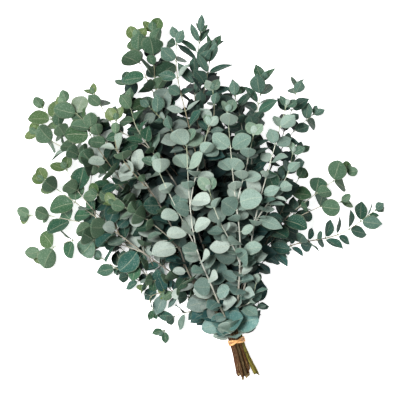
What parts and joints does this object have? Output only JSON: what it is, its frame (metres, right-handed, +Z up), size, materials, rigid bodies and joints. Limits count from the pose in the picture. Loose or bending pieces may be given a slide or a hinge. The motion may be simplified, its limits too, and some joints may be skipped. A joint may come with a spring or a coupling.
{
  "type": "dried eucalyptus bouquet",
  "caption": "Tied bunch of dried eucalyptus branches lying down, leafy sprays fanned out from a rubber band with the cut stem ends below it.",
  "frame": {"origin": "on the surface that the bunch lies on, under the middle of the tie band", "axes": "+Y runs along the bunch from the tie to its leafy tips, +X to the right of it seen from above, +Z up"},
  "size_m": [0.5038, 0.5235, 0.1404],
  "materials": {
    "leaf_silver": "dry leaf with a pale silvery bloom",
    "leaf_green": "dry leaf, matte green",
    "leaf_teal": "dry leaf, matte blue-green",
    "leaf_dark": "dry leaf, matte dark green",
    "band": "smooth satin rubber"
  },
  "bodies": {
    "root": {"stem_01": "leaf_silver", "stem_02": "leaf_silver", "stem_03": "leaf_silver", "stem_04": "leaf_green", "stem_05": "leaf_green", "stem_06": "leaf_green", "stem_07": "leaf_green", "stem_08": "leaf_green", "stem_09": "leaf_teal", "stem_10": "leaf_teal", "stem_11": "leaf_teal", "stem_12": "leaf_teal", "stem_13": "leaf_green", "stem_14": "leaf_teal", "stem_15": "leaf_teal", "stem_16": "leaf_dark", "stem_17": "leaf_dark", "stem_18": "leaf_dark", "stem_19": "leaf_dark", "tie_band": "band"}
  },
  "joints": []
}
